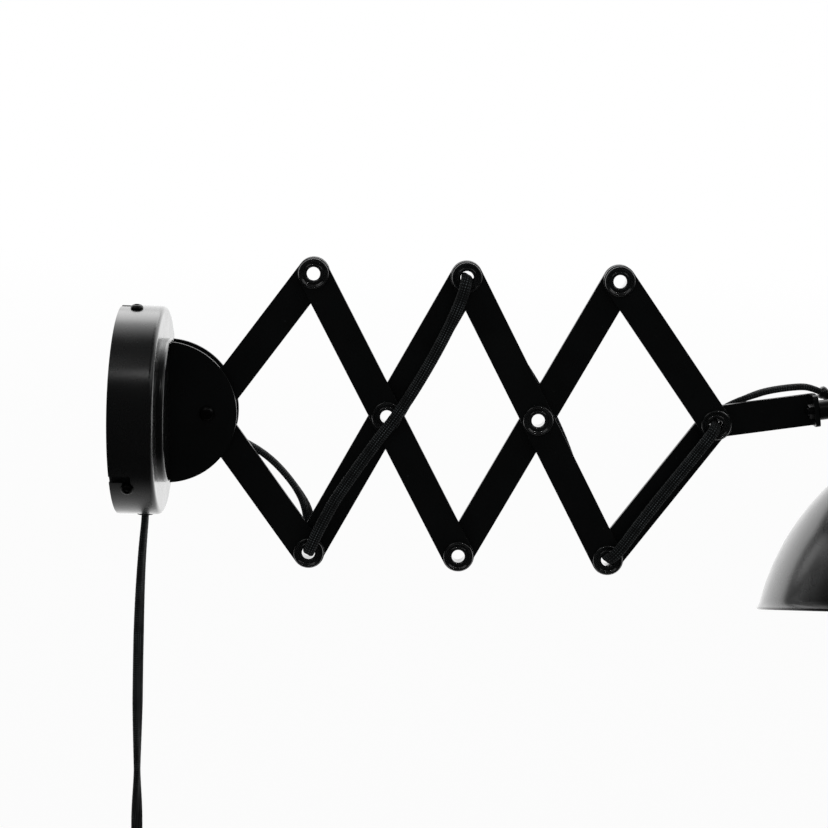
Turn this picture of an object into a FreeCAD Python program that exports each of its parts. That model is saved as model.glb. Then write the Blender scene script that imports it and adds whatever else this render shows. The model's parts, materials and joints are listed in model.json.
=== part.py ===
import FreeCAD, Part
import math
import os
from FreeCAD import Placement, Rotation, Vector

# A wall lamp on a folding lattice arm, in millimetres.
# +X points out of the wall, +Z up, and the origin is the middle of the face that lies on the wall.

# Wall canopy and the plate behind it
cover_radius = 65.0
cover_depth = 27.0
cover_sheet = 1.2
cover_edge_radius = 3.0
plate_thickness = 2.0
plate_gap = 2.8
plate_cable_hole = 14.0
wall_screw_spacing = 84.0
wall_slot_length = 10.0
wall_slot_radius = 2.3
tab_width = 24.0
tab_height = 14.0
tab_thickness = 2.5
cover_screw_height = 10.5
cover_screw_angles = (82.0, -38.0, -158.0)
cover_screw_radius = 1.6
cover_screw_head = 3.9
cover_screw_head_height = 2.4
cover_slot_width = 5.0
cover_slot_offset = 7.5
cord_start_inset = 12.0
cord_exit_proud = 2.5

# Base disc with its two ears
base_radius = 45.0
base_thickness = 4.0
base_edge_radius = 2.0
ear_radius = 44.3
ear_sheet = 2.0
ear_gap = 14.0
ear_tenon_depth = 3.0
ear_tenon_half = 36.0
pivot_reach = 54.0
base_screw_half_spacing = 28.0
base_screw_radius = 1.95
base_screw_head = 3.8
base_screw_head_height = 2.5
base_screw_bite = 3.2

# Lattice bars
middle_half = 100.0
end_length = 109.0
fold_angle = 61.8
bar_width = 20.0
bar_thickness = 3.0
layer_gap = 2.0
edge_break = 0.35
open_pivot_play = 2.9

# Wall pivot
bolt_radius = 3.0
bolt_head_radius = 4.8
bolt_head_height = 2.8
bolt_socket_radius = 1.6
bolt_socket_depth = 1.4
bush_wall = 0.95
pivot_washer_radius = 9.0
nut_height = 4.5
nut_across = 10.0

# Eyelets
eyelet_bore = 4.1
eyelet_wall = 0.8
eyelet_flange = 9.3
eyelet_lip = 0.5
eyelet_crest = 8.6
eyelet_crest_height = 1.7
eyelet_crest_fall = 0.3
eyelet_shoulder_bulge = 0.2
eyelet_brow = 7.6
eyelet_brow_height = 1.0
eyelet_dish = 6.9
eyelet_dish_height = 0.55
eyelet_collar_foot = 6.45
eyelet_collar = 5.6
eyelet_collar_height = 1.25
eyelet_mouth_height = 0.3
eyelet_roll = 7.6
eyelet_roll_height = 1.2
eyelet_tail = 0.4
washer_radius = 9.2

# Head bar, swivel and knuckle
head_bar_length = 65.0
head_bar_angle = 9.0
head_tab_depth = 13.4
head_tab_corner = 3.0
head_bend_radius = 1.0
swivel_back = 0.4
swivel_radius = 6.25
swivel_stud_radius = 2.5
swivel_nut_height = 3.0
swivel_nut_across = 8.0
swivel_stud_proud = 0.6
swivel_roll = 15.2
head_reach = 111.2
knuckle_slot = 5.0
knuckle_slot_depth = 10.0
knuckle_tongue_half = 5.0
knuckle_screw_radius = 2.5
knuckle_head_radius = 4.4
knuckle_head_height = 2.6
knuckle_knob_radius = 6.0
knuckle_knob_height = 7.0
knuckle_side_flat = 1.2
knob_grooves = 12
knob_groove_radius = 0.8
knob_groove_out = 0.3
knob_collar = 1.0
knuckle_foot_height = 2.0
knuckle_foot_inset = 1.0
shade_lean = 8.7

# Lampholder and shade, measured down from the knuckle's axis
shade_rim_radius = 81.5
shade_height = 97.0
shade_top_radius = 16.0
shade_arc_radius = 157.0
shade_sheet = 1.0
shade_top_drop = 35.0
cap_wall = 1.5
cap_dome = 6.0
cap_height = 18.5
cap_top_radius = 8.0
neck_radius = 5.0
holder_radius = 13.0
holder_top_drop = 25.5
holder_length = 54.0
holder_edge_radius = 1.5
socket_radius = 7.0
socket_depth = 29.0
socket_shell_wall = 0.6
socket_shell_length = 18.0
socket_shell_drop = 6.0
contact_stud_radius = 2.0
contact_stud_height = 1.5
contact_thickness = 0.8
contact_half_width = 1.5
contact_reach = 4.5
contact_tail = 2.5
shade_ring_radius = 18.5
shade_ring_height = 5.0
shade_hole_play = 1.5
ring_top_inset = 2.0
ring_foot_inset = 1.0
ring_foot_height = 1.0
ring_notches = 6
ring_notch_radius = 2.2

# Inside the canopy
terminal_half_width = 17.0
terminal_half_height = 7.5
terminal_half_pitch = 11.0
terminal_screw_bore = 2.6
terminal_screw_bore_depth = 4.0
terminal_screw_radius = 2.3
terminal_screw_length = 2.0
terminal_slot_half = 0.4
terminal_slot_depth = 0.8
terminal_wire_radius = 1.6
terminal_wire_depth = 7.0
clamp_half_width = 8.0
clamp_height = 8.0
clamp_lap = 5.0
clamp_cover = 5.0

# Cords and what is on them
cord_radius = 2.6
sleeve_radius = 3.6
cord_hole_side = 3.0
cord_hole_drop = 13.4
cord_hole_radius = 3.2
stub_start = 16.0
stub_end = 44.0
mains_height = 15.0
grommet_radius = 5.5
grommet_neck = 3.9
grommet_proud = 1.5
grommet_inside = 1.4
grommet_collar = 1.2
grommet_edge_radius = 0.5
coil_turns = 5
coil_outer_radius = 45.0
coil_pitch = 6.6
coil_layer = 7.6
coil_lead = 46.0
coil_samples = 900
corner_share = 0.45
tie_width = 10.0
tie_thickness = 1.2
tie_slack = 1.2
switch_length = 60.0
switch_width = 26.0
switch_depth = 18.0
switch_corner = 5.0
switch_edge_radius = 1.5
switch_floor = 1.0
switch_wire_radius = 2.0
switch_wire_depth = 8.0
switch_relief_length = 12.0
switch_relief_radius = 5.2
rocker_length = 18.0
rocker_width = 11.0
rocker_tilt = 8.0
rocker_proud = 2.4
rocker_axle_offset = 3.0
rocker_end_inset = 1.5
rocker_belly = 2.2
plug_width = 35.0
plug_depth = 13.7
plug_length = 37.0
plug_neck = 12.0
plug_shoulder = 18.0
plug_edge_radius = 2.5
plug_relief_length = 20.0
plug_relief_radius = 5.2
relief_tip_wall = 1.2
pin_spacing = 18.6
pin_radius = 2.0
pin_length = 19.0

# Clearances
running = 0.05
end_play = 0.06
easy = 0.3

X = Vector(1, 0, 0)
Y = Vector(0, 1, 0)
Z = Vector(0, 0, 1)
FRONT = -(layer_gap / 2 + bar_thickness)
BACK = -FRONT
FRONT_LAYER = -(layer_gap + bar_thickness) / 2
BACK_LAYER = -FRONT_LAYER
HEAD_LAYER = BACK_LAYER + bar_thickness + layer_gap
HEAD_BACK = HEAD_LAYER + bar_thickness / 2
bush_radius = bolt_radius + running + bush_wall
barrel_radius = eyelet_bore + eyelet_wall

# Routes of the cords, as points chosen along them
ARM_CORD_ROUTES = {
    "arm_cord_wall": [
        Vector(stub_start, cord_hole_side, -cord_hole_drop),
        Vector(stub_end, cord_hole_side, -cord_hole_drop),
    ],
    "arm_cord_1": [
        Vector(44.0, 3.0, -13.4),
        Vector(57.0, 3.0, -13.4),
        Vector(70.0, 4.0, -16.5),
        Vector(82.3, 5.2, -22.8),
        Vector(92.4, 6.6, -30.0),
        Vector(101.6, 8.0, -39.4),
        Vector(110.0, 9.2, -50.6),
        Vector(115.7, 10.0, -61.2),
        Vector(118.0, 9.9, -72.0),
        Vector(118.3, 9.5, -80.0),
        Vector(118.1, 9.0, -84.1),
        Vector(118.1, 5.0, -88.1),
        Vector(118.1, 0.0, -88.1),
    ],
    "arm_cord_2": [
        Vector(118.1, 0.0, -88.1),
        Vector(118.1, -5.0, -88.1),
        Vector(119.4, -9.0, -84.3),
        Vector(122.6, -9.2, -76.3),
        Vector(128.9, -8.7, -63.3),
        Vector(134.6, -8.1, -52.4),
        Vector(142.6, -7.9, -40.3),
        Vector(151.8, -8.2, -26.2),
        Vector(161.6, -8.9, -12.2),
        Vector(169.6, -9.2, -1.2),
        Vector(178.0, -8.7, 11.4),
        Vector(187.4, -8.0, 27.5),
        Vector(196.3, -7.9, 44.4),
        Vector(203.0, -8.2, 58.6),
        Vector(208.2, -8.8, 71.3),
        Vector(210.6, -9.1, 78.8),
        Vector(211.8, -9.0, 84.2),
        Vector(212.6, -5.0, 88.1),
        Vector(212.6, 0.0, 88.1),
    ],
    "arm_cord_3": [
        Vector(212.6, 0.0, 88.1),
        Vector(212.6, 5.0, 88.1),
        Vector(214.5, 9.0, 84.6),
        Vector(219.4, 8.7, 75.9),
        Vector(228.8, 6.6, 62.6),
        Vector(239.8, 5.7, 46.0),
        Vector(254.7, 7.4, 25.5),
        Vector(267.5, 8.9, 4.0),
        Vector(278.3, 7.6, -18.5),
        Vector(287.0, 5.8, -42.3),
        Vector(294.8, 6.8, -60.9),
        Vector(300.5, 8.7, -75.9),
        Vector(305.2, 9.0, -84.6),
        Vector(307.1, 5.0, -88.1),
        Vector(307.1, 0.0, -88.1),
    ],
    "arm_cord_4": [
        Vector(307.1, 0.0, -88.1),
        Vector(307.1, -5.0, -88.1),
        Vector(309.9, -9.0, -85.2),
        Vector(315.3, -8.8, -79.3),
        Vector(324.4, -7.0, -66.1),
        Vector(337.6, -6.0, -47.8),
        Vector(350.6, -6.4, -30.2),
        Vector(361.0, -8.6, -15.2),
        Vector(368.0, -10.5, -4.6),
        Vector(371.3, -5.0, 0.0),
        Vector(371.3, 2.5, 0.0),
    ],
    "arm_cord_5": [
        Vector(371.3, 2.5, 0.0),
        Vector(371.3, 10.0, 0.0),
        Vector(375.6, 15.6, 4.4),
        Vector(384.6, 15.7, 10.9),
        Vector(395.5, 15.0, 16.0),
        Vector(408.0, 14.7, 20.4),
        Vector(419.0, 14.4, 22.0),
    ],
    "arm_cord_6": [
        Vector(419.0, 14.4, 22.0),
        Vector(425.9, 14.21, 23.0),
        Vector(432.8, 13.9, 22.6),
        Vector(438.5, 13.4, 20.4),
    ],
}
SLEEVE_ROUTE = [
    Vector(438.5, 13.4, 20.4),
    Vector(444.2, 12.9, 18.2),
    Vector(450.6, 11.5, 13.6),
    Vector(458.3, 8.9, 7.6),
    Vector(465.7, 5.3, 0.2),
    Vector(470.3, 2.9, -4.9),
]
MAINS_ROUTE = [
    Vector(15.0, 0.0, cord_start_inset - cover_radius),
    Vector(15.0, 0.0, -cover_radius - cord_exit_proud),
    Vector(13.5, 0.3, -83.0),
    Vector(12.4, -0.2, -101.0),
    Vector(11.5, 0.2, -120.0),
    Vector(10.9, 0.0, -142.0),
    Vector(10.5, -0.3, -168.0),
    Vector(10.2, 0.2, -198.0),
    Vector(10.1, -0.2, -232.0),
    Vector(10.0, 0.0, -267.0),
    Vector(10.0, 0.0, -300.0),
]
TAIL_ROUTE = [
    Vector(17.6, -3.3, -406.0),
    Vector(17.6, -3.3, -418.0),
    Vector(15.2, -0.6, -437.0),
    Vector(14.6, 0.3, -469.0),
    Vector(14.6, 0.3, -501.0),
]


# Shapes that several pieces use
def rh(radius, height):
    """A point of a lathe profile: its distance from the axis and its height along it."""
    return Vector(radius, 0, height)


def outline(steps):
    """A closed wire through points, where a pair of points is an arc through the first to the second."""
    edges = []
    here = steps[0]
    for step in steps[1:]:
        if isinstance(step, tuple):
            there = step[1]
            edges.append(Part.Arc(here, step[0], there).toShape())
        else:
            there = step
            edges.append(Part.makeLine(here, there))
        here = there
    if (here - steps[0]).Length > 1e-6:
        edges.append(Part.makeLine(here, steps[0]))
    return Part.Wire(edges)


def lathe(steps):
    return Part.Face(outline(steps)).revolve(Vector(0, 0, 0), Z, 360)


def stand(shape, base, axis):
    """The shape with its own +Z turned to an axis and its origin moved to a base."""
    shape = shape.copy()
    shape.Placement = Placement(base, Rotation(Z, axis))
    return shape


def cylinder(radius, start, end):
    along = end - start
    return Part.makeCylinder(radius, along.Length, start, along)


def tube(outer, inner, start, end):
    return cylinder(outer, start, end).cut(cylinder(inner, start, end))


def block(low, high):
    size = high - low
    return Part.makeBox(size.x, size.y, size.z, low)


def hexagon(across, height, base, axis):
    corner = across / math.sqrt(3)
    corners = [Vector(corner * math.cos(math.radians(a)), corner * math.sin(math.radians(a)), 0)
               for a in range(0, 360, 60)]
    return stand(Part.Face(outline(corners)).extrude(Vector(0, 0, height)), base, axis)


def group(shapes):
    return Part.makeCompound(shapes)


def edges_across(shape, direction):
    """The edges of a flat piece's outline on its two faces: all but those along its thickness."""
    found = []
    for edge in shape.Edges:
        if isinstance(edge.Curve, Part.Line) and abs(edge.Curve.Direction.dot(direction)) > 0.99:
            continue
        found.append(edge)
    return found


# Cords
def rounded(points):
    """A wire of straight runs joined by tangent arcs, and the radii of those arcs."""
    edges = []
    radii = []
    here = points[0]
    for before, corner, after in zip(points, points[1:], points[2:]):
        arriving = (corner - before).normalize()
        leaving = (after - corner).normalize()
        half_turn = arriving.getAngle(leaving) / 2
        reach = corner_share * min((corner - before).Length, (after - corner).Length)
        start = corner - arriving * reach
        end = corner + leaving * reach
        radius = reach / math.tan(half_turn)
        inward = (leaving - arriving).normalize()
        middle = corner + inward * (radius / math.cos(half_turn) - radius)
        edges.append(Part.makeLine(here, start))
        edges.append(Part.Arc(start, middle, end).toShape())
        radii.append(radius)
        here = end
    edges.append(Part.makeLine(here, points[-1]))
    return Part.Wire(edges), radii


def swept(path, radius):
    start = path.Edges[0].valueAt(path.Edges[0].FirstParameter)
    heading = path.Edges[0].tangentAt(path.Edges[0].FirstParameter)
    ring = Part.Wire(Part.makeCircle(radius, start, heading))
    return path.makePipeShell([ring], True, False)


def cord(name, points, radius=cord_radius):
    path, radii = rounded(points)
    solid = swept(path, radius)
    filled = solid.Volume / (math.pi * radius**2 * path.Length)
    listed = " ".join("%.0f" % r for r in radii)
    print("%s: length %.0f, volume %.4f of section times length, radii %s"
          % (name, path.Length, filled, listed))
    return solid


def biarc(start, start_heading, end, end_heading):
    """Two tangent arcs from one point and heading to another."""
    across = end - start
    both = start_heading + end_heading
    a = both.dot(both) - 4
    b = -2 * across.dot(both)
    c = across.dot(across)
    if abs(a) < 1e-9:
        reach = -c / b
    else:
        reach = (-b - math.sqrt(b * b - 4 * a * c)) / (2 * a)
    first = start + start_heading * reach
    second = end - end_heading * reach
    join = (first + second) / 2
    edges = []
    for tail, corner, tip in ((start, first, join), (join, second, end)):
        arriving = (corner - tail).normalize()
        leaving = (tip - corner).normalize()
        half_turn = arriving.getAngle(leaving) / 2
        inward = (leaving - arriving).normalize()
        depth = reach / math.sin(half_turn) - reach / math.tan(half_turn)
        edges.append(Part.Arc(tail, corner + inward * depth, tip).toShape())
    return edges


def coil_point(half_turns, centre):
    """A point of the coil: it winds in, climbs one layer in a half turn, and winds out."""
    inner = coil_turns - 1
    step = coil_pitch / 2
    if half_turns <= inner:
        radius = coil_outer_radius - step * half_turns
        climb = 0.0
    elif half_turns <= inner + 1:
        radius = coil_outer_radius - step * inner
        climb = (1 - math.cos(math.pi * (half_turns - inner))) / 2
    else:
        radius = coil_outer_radius - step * inner + step * (half_turns - inner - 1)
        climb = 1.0
    angle = math.pi + math.pi * half_turns
    return centre + Vector(coil_layer * climb, radius * math.cos(angle), radius * math.sin(angle))


def coil_heading(half_turns, centre, last):
    small = 1e-4
    before = coil_point(max(half_turns - small, 0.0), centre)
    after = coil_point(min(half_turns + small, last), centre)
    return (after - before).normalize()


def least_gap(points, radius, apart):
    """The least gap of a tube to itself, between points further along it than a given length."""
    step = (points[1] - points[0]).Length
    skip = int(apart / step) + 1
    least = min((points[i] - points[j]).Length
                for i in range(0, len(points), 2) for j in range(i + skip, len(points), 2))
    return least - 2 * radius


def mains_coil():
    start = Vector(MAINS_ROUTE[-1].x, 0, MAINS_ROUTE[-1].z - switch_length)
    entry = start - Z * coil_lead
    centre = entry + Y * coil_outer_radius
    last = 2 * coil_turns
    marks = [i / 2 for i in range(2 * last + 1)]
    edges = [Part.makeLine(start, entry)]
    for here, there in zip(marks, marks[1:]):
        first = -Z if here == 0 else coil_heading(here, centre, last)
        second = -Z if there == last else coil_heading(there, centre, last)
        edges += biarc(coil_point(here, centre), first, coil_point(there, centre), second)
    path = Part.Wire(edges)
    points = path.discretize(Number=coil_samples)
    gap = least_gap(points, cord_radius, 4 * cord_radius)
    print("mains_cord_coil: length %.0f, least gap to itself %.2f" % (path.Length, gap))
    return swept(path, cord_radius), centre


# Wall canopy
def around(angle, radius, height):
    """A point at an angle round the canopy, counted from the side that faces -Y."""
    turn = math.radians(angle)
    return Vector(height, -radius * math.cos(turn), radius * math.sin(turn))


def turned_round(shape, angle):
    """A shape made at the top of the canopy, turned to another angle round it."""
    shape = shape.copy()
    shape.rotate(Vector(0, 0, 0), X, 90 - angle)
    return shape


def tab_face():
    return cover_radius - cover_sheet - plate_gap + tab_thickness / 2


def wall_plate():
    radius = cover_radius - cover_sheet - plate_gap
    plate = cylinder(radius, Vector(0, 0, 0), X * plate_thickness)
    plate = plate.cut(cylinder(plate_cable_hole, Vector(0, 0, 0), X * plate_thickness))
    for side in (-1, 1):
        middle = Vector(0, side * wall_screw_spacing / 2, 0)
        run = wall_slot_length / 2 - wall_slot_radius
        for offset in (-run, run):
            place = middle + Y * offset
            plate = plate.cut(cylinder(wall_slot_radius, place, place + X * plate_thickness))
        plate = plate.cut(block(middle - Y * run - Z * wall_slot_radius,
                                middle + Y * run + Z * wall_slot_radius + X * plate_thickness))
    for angle in cover_screw_angles:
        outer = tab_face()
        tab = block(Vector(0, -tab_width / 2, outer - tab_thickness),
                    Vector(tab_height + plate_thickness, tab_width / 2, outer))
        plate = plate.fuse(turned_round(tab, angle))
        hole = cylinder(cover_screw_radius + running,
                        around(angle, outer - 2 * tab_thickness, cover_screw_height),
                        around(angle, outer + tab_thickness, cover_screw_height))
        plate = plate.cut(hole)
    return plate.removeSplitter()


def canopy_cover():
    edge = cover_edge_radius
    inner_edge = edge - cover_sheet
    inside = cover_radius - cover_sheet
    knee = edge * (1 - math.sqrt(0.5))
    inner_knee = inner_edge * (1 - math.sqrt(0.5))
    front = cover_depth
    shell = stand(lathe([
        rh(cover_radius, 0),
        rh(cover_radius, front - edge),
        (rh(cover_radius - knee, front - knee), rh(cover_radius - edge, front)),
        rh(0, front),
        rh(0, front - cover_sheet),
        rh(inside - inner_edge, front - cover_sheet),
        (rh(inside - inner_knee, front - cover_sheet - inner_knee),
         rh(inside, front - cover_sheet - inner_edge)),
        rh(inside, 0),
    ]), Vector(0, 0, 0), X)
    half = cover_slot_width / 2
    for angle in cover_screw_angles:
        entry = block(Vector(0, cover_slot_offset - half, inside - edge),
                      Vector(cover_screw_height + half, cover_slot_offset + half, cover_radius + edge))
        seat = block(Vector(cover_screw_height - half, 0, inside - edge),
                     Vector(cover_screw_height + half, cover_slot_offset + half, cover_radius + edge))
        end = cylinder(half, Vector(cover_screw_height, 0, inside - edge),
                       Vector(cover_screw_height, 0, cover_radius + edge))
        for cutter in (entry, seat, end):
            shell = shell.cut(turned_round(cutter, angle))
    shell = shell.cut(cord_hole(cover_depth - 2 * cover_sheet, cover_depth))
    for place in base_screw_places():
        shell = shell.cut(cylinder(base_screw_radius + easy, place - X * 2 * cover_sheet, place))
    grommet_hole = cylinder(grommet_neck + running, Vector(mains_height, 0, -cover_radius - cover_sheet),
                            Vector(mains_height, 0, -cover_radius + 2 * cover_sheet))
    return shell.cut(grommet_hole)


def cover_screws():
    screws = []
    for angle in cover_screw_angles:
        seat = cover_radius + running
        crown = seat + cover_screw_head_height
        low = cover_screw_head_height / 3
        profile = [
            rh(0, tab_face() - 2 * tab_thickness),
            rh(cover_screw_radius, tab_face() - 2 * tab_thickness),
            rh(cover_screw_radius, seat),
            rh(cover_screw_head, seat),
            rh(cover_screw_head, seat + low),
            (rh(cover_screw_head * 0.75, crown - low / 2), rh(cover_screw_radius, crown)),
            rh(cover_screw_radius, crown - low),
            rh(0, crown - low),
        ]
        out = around(angle, 1, 0)
        screws.append(stand(lathe(profile), X * cover_screw_height, out))
    return group(screws)


def base_screw_places():
    return [Vector(cover_depth, 0, side * base_screw_half_spacing) for side in (-1, 1)]


def cord_hole(start, end):
    side = Vector(0, cord_hole_side, -cord_hole_drop)
    return cylinder(cord_hole_radius, side + X * start, side + X * end)


def base_screws():
    screws = []
    for place in base_screw_places():
        seat = place - X * cover_sheet
        head = cylinder(base_screw_head, seat - X * base_screw_head_height, seat)
        screws.append(head.fuse(cylinder(base_screw_radius, seat, place + X * base_screw_bite)))
    return group(screws)


# Base disc and ears
def arm_base():
    knee = base_edge_radius * (1 - math.sqrt(0.5))
    front = base_thickness
    disc = stand(lathe([
        rh(0, 0),
        rh(base_radius, 0),
        rh(base_radius, front - base_edge_radius),
        (rh(base_radius - knee, front - knee), rh(base_radius - base_edge_radius, front)),
        rh(0, front),
    ]), X * cover_depth, X)
    face = cover_depth + base_thickness
    for side in (-1, 1):
        low, high = sorted((side * ear_gap / 2, side * (ear_gap / 2 + ear_sheet)))
        disc = disc.cut(block(Vector(face - ear_tenon_depth, low, -ear_tenon_half),
                              Vector(face, high, ear_tenon_half)))
    for place in base_screw_places():
        disc = disc.cut(cylinder(base_screw_radius + running, place, place + X * base_screw_bite))
    return disc.cut(cord_hole(cover_depth, face))


def ear(side):
    """A half disc that stands on the base disc, with a tenon let into it."""
    face = cover_depth + base_thickness
    low, high = sorted((side * ear_gap / 2, side * (ear_gap / 2 + ear_sheet)))
    centre = Vector(face - ear_tenon_depth, 0, 0)
    plate = cylinder(ear_radius, centre + Y * low, centre + Y * high)
    plate = plate.cut(block(Vector(centre.x - ear_radius, low, -ear_radius),
                            Vector(face, high, ear_radius)))
    plate = plate.makeFillet(edge_break, edges_across(plate, Y))
    tenon = block(Vector(face - ear_tenon_depth, low, -ear_tenon_half),
                  Vector(face + edge_break, high, ear_tenon_half))
    plate = plate.fuse(tenon).removeSplitter()
    bolt = Vector(pivot_reach, 0, 0)
    return plate.cut(cylinder(bolt_radius + running, bolt + Y * low, bolt + Y * high))


# Wall pivot
def pivot_bolt():
    outside = ear_gap / 2 + ear_sheet
    crown = outside + bolt_head_height
    tip = outside + nut_height - edge_break
    bolt = stand(lathe([
        rh(0, -tip),
        rh(bolt_radius, -tip),
        rh(bolt_radius, outside),
        rh(bolt_head_radius, outside),
        (rh(bolt_head_radius * 0.82, outside + bolt_head_height * 0.68), rh(bolt_socket_radius * 1.3, crown)),
        rh(0, crown),
    ]), X * pivot_reach, -Y)
    recess = hexagon(2 * bolt_socket_radius, bolt_socket_depth,
                     Vector(pivot_reach, -crown, 0), Y)
    return bolt.cut(recess)


def pivot_nut():
    outside = ear_gap / 2 + ear_sheet
    base = Vector(pivot_reach, outside, 0)
    nut = hexagon(nut_across, nut_height, base, Y)
    return nut.cut(cylinder(bolt_radius + running / 2, base, base + Y * nut_height))


def pivot_bush():
    half = ear_gap / 2 - end_play
    middle = X * pivot_reach
    return tube(bush_radius, bolt_radius + running, middle - Y * half, middle + Y * half)


def pivot_washers():
    half = ear_gap / 2 - end_play
    middle = X * pivot_reach
    spans = [(-half, FRONT - end_play), (-layer_gap / 2 + end_play, layer_gap / 2 - end_play),
             (BACK + end_play, half)]
    return group([tube(pivot_washer_radius, bush_radius, middle + Y * low, middle + Y * high)
                  for low, high in spans])


# Lattice
def pivots():
    """The pivots of the lattice as built, named by row from the wall outwards."""
    rise = middle_half * math.sin(math.radians(fold_angle))
    step = middle_half * math.cos(math.radians(fold_angle))
    lead = math.sqrt(end_length**2 - rise**2)
    first = pivot_reach + lead
    found = {"wall": Vector(pivot_reach, 0, 0)}
    for index in (1, 2, 3):
        along = first + 2 * step * (index - 1)
        found["top_%d" % index] = Vector(along, 0, rise)
        found["low_%d" % index] = Vector(along, 0, -rise)
    for index in (1, 2):
        found["mid_%d" % index] = Vector(first + step * (2 * index - 1), 0, 0)
    found["head"] = Vector(first + 4 * step + lead, 0, 0)
    return found


def laid(shape, start, end):
    """A piece made along +X, laid from one pivot towards another."""
    shape = shape.copy()
    angle = math.degrees(math.atan2(end.z - start.z, end.x - start.x))
    shape.Placement = Placement(start, Rotation(-Y, angle))
    return shape


def flat_bar(length, layer, holes):
    """A bar with round ends, from a first pivot at the origin, and holes at distances along it."""
    half = bar_width / 2
    side = Vector(0, layer - bar_thickness / 2, 0)
    blank = Part.Face(outline([
        side - Z * half,
        side - Z * half + X * length,
        (side + X * (length + half), side + Z * half + X * length),
        side + Z * half,
        (side - X * half, side - Z * half),
    ])).extrude(Y * bar_thickness)
    blank = blank.makeFillet(edge_break, edges_across(blank, Y))
    for distance, radius in holes:
        middle = side + X * distance
        blank = blank.cut(cylinder(radius, middle, middle + Y * bar_thickness))
    return blank


def lattice_bars(at):
    pin = barrel_radius + running
    middle = [(0, pin), (middle_half, pin), (2 * middle_half, pin)]
    full = 2 * middle_half
    return {
        "bar_wall_up": laid(flat_bar(end_length, BACK_LAYER, [(0, bush_radius + running), (end_length, pin)]),
                            at["wall"], at["top_1"]),
        "bar_wall_down": laid(flat_bar(end_length, FRONT_LAYER,
                                       [(0, bush_radius + open_pivot_play), (end_length, pin)]),
                              at["wall"], at["low_1"]),
        "bar_fall_1": laid(flat_bar(full, FRONT_LAYER, middle), at["top_1"], at["low_2"]),
        "bar_rise_1": laid(flat_bar(full, BACK_LAYER, middle), at["low_1"], at["top_2"]),
        "bar_fall_2": laid(flat_bar(full, FRONT_LAYER, middle), at["top_2"], at["low_3"]),
        "bar_rise_2": laid(flat_bar(full, BACK_LAYER, middle), at["low_2"], at["top_3"]),
        "bar_head_up": laid(flat_bar(end_length, FRONT_LAYER, [(0, pin), (end_length, pin)]),
                            at["top_3"], at["head"]),
        "bar_head_down": laid(flat_bar(end_length, BACK_LAYER,
                                       [(0, pin), (end_length, barrel_radius + open_pivot_play)]),
                              at["low_3"], at["head"]),
    }


def eyelet(place, back):
    """A tubular rivet: a dished cup and a rolled collar in front, and a rolled ring behind the bars."""
    front = -FRONT
    crest = front + eyelet_crest_height
    collar = front + eyelet_collar_height
    behind = back + end_play
    shoulder = (eyelet_flange + eyelet_crest) / 2 + eyelet_shoulder_bulge
    roll_middle = (eyelet_roll + eyelet_bore) / 2
    profile = [
        rh(barrel_radius, front),
        rh(eyelet_flange, front),
        rh(eyelet_flange, front + eyelet_lip),
        (rh(shoulder, crest - eyelet_crest_fall), rh(eyelet_crest, crest)),
        (rh((eyelet_crest + 2 * eyelet_brow) / 3, crest - eyelet_crest_fall),
         rh(eyelet_brow, front + eyelet_brow_height)),
        (rh((eyelet_brow + 2 * eyelet_dish) / 3, front + (eyelet_brow_height + 3 * eyelet_dish_height) / 4),
         rh(eyelet_dish, front + eyelet_dish_height)),
        rh(eyelet_collar_foot, front + eyelet_dish_height),
        (rh((2 * eyelet_collar_foot + eyelet_collar) / 3, collar - eyelet_crest_fall),
         rh(eyelet_collar, collar)),
        (rh((eyelet_collar + 2 * eyelet_bore) / 3, collar - eyelet_crest_fall),
         rh(eyelet_bore, front + eyelet_mouth_height)),
        rh(eyelet_bore, -behind - eyelet_tail),
        (rh(roll_middle, -behind - eyelet_roll_height), rh(eyelet_roll, -behind - eyelet_lip)),
        rh(eyelet_roll, -behind),
        rh(barrel_radius, -behind),
    ]
    return stand(lathe(profile), place, -Y)


def washer(place, low, high):
    """A spacer ring between two bars, round an eyelet's barrel."""
    return tube(washer_radius, barrel_radius + running, place + Y * low, place + Y * high)


def eyelets_and_washers(at):
    gap = layer_gap / 2
    groups = {
        "wall_down": ["low_1"],
        "fall_1": ["top_1", "mid_1", "low_2"],
        "fall_2": ["top_2", "mid_2", "low_3"],
        "head_up": ["top_3"],
    }
    nodes = {}
    for name, places in groups.items():
        rivets = [eyelet(at[p], BACK) for p in places]
        if name == "head_up":
            rivets.append(eyelet(at["head"], HEAD_BACK))
        nodes["eyelets_" + name] = group(rivets)
        nodes["washers_" + name] = group([washer(at[p], -gap, gap - end_play) for p in places])
    nodes["washers_head"] = group([washer(at["head"], low + end_play, low + layer_gap - end_play)
                                   for low in (-gap, BACK)])
    return nodes


# Head bar, swivel and knuckle
def head_frame(at):
    return Placement(at["head"], Rotation(-Y, head_bar_angle))


def swivel_frame(at):
    roll = Placement(Vector(0, swivel_back, 0), Rotation(X, -swivel_roll))
    return head_frame(at).multiply(roll)


def shade_frame(at):
    lean = Placement(X * head_reach, Rotation(Y, shade_lean))
    return swivel_frame(at).multiply(lean)


def placed(shape, frame):
    shape = shape.copy()
    shape.Placement = frame
    return shape


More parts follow.
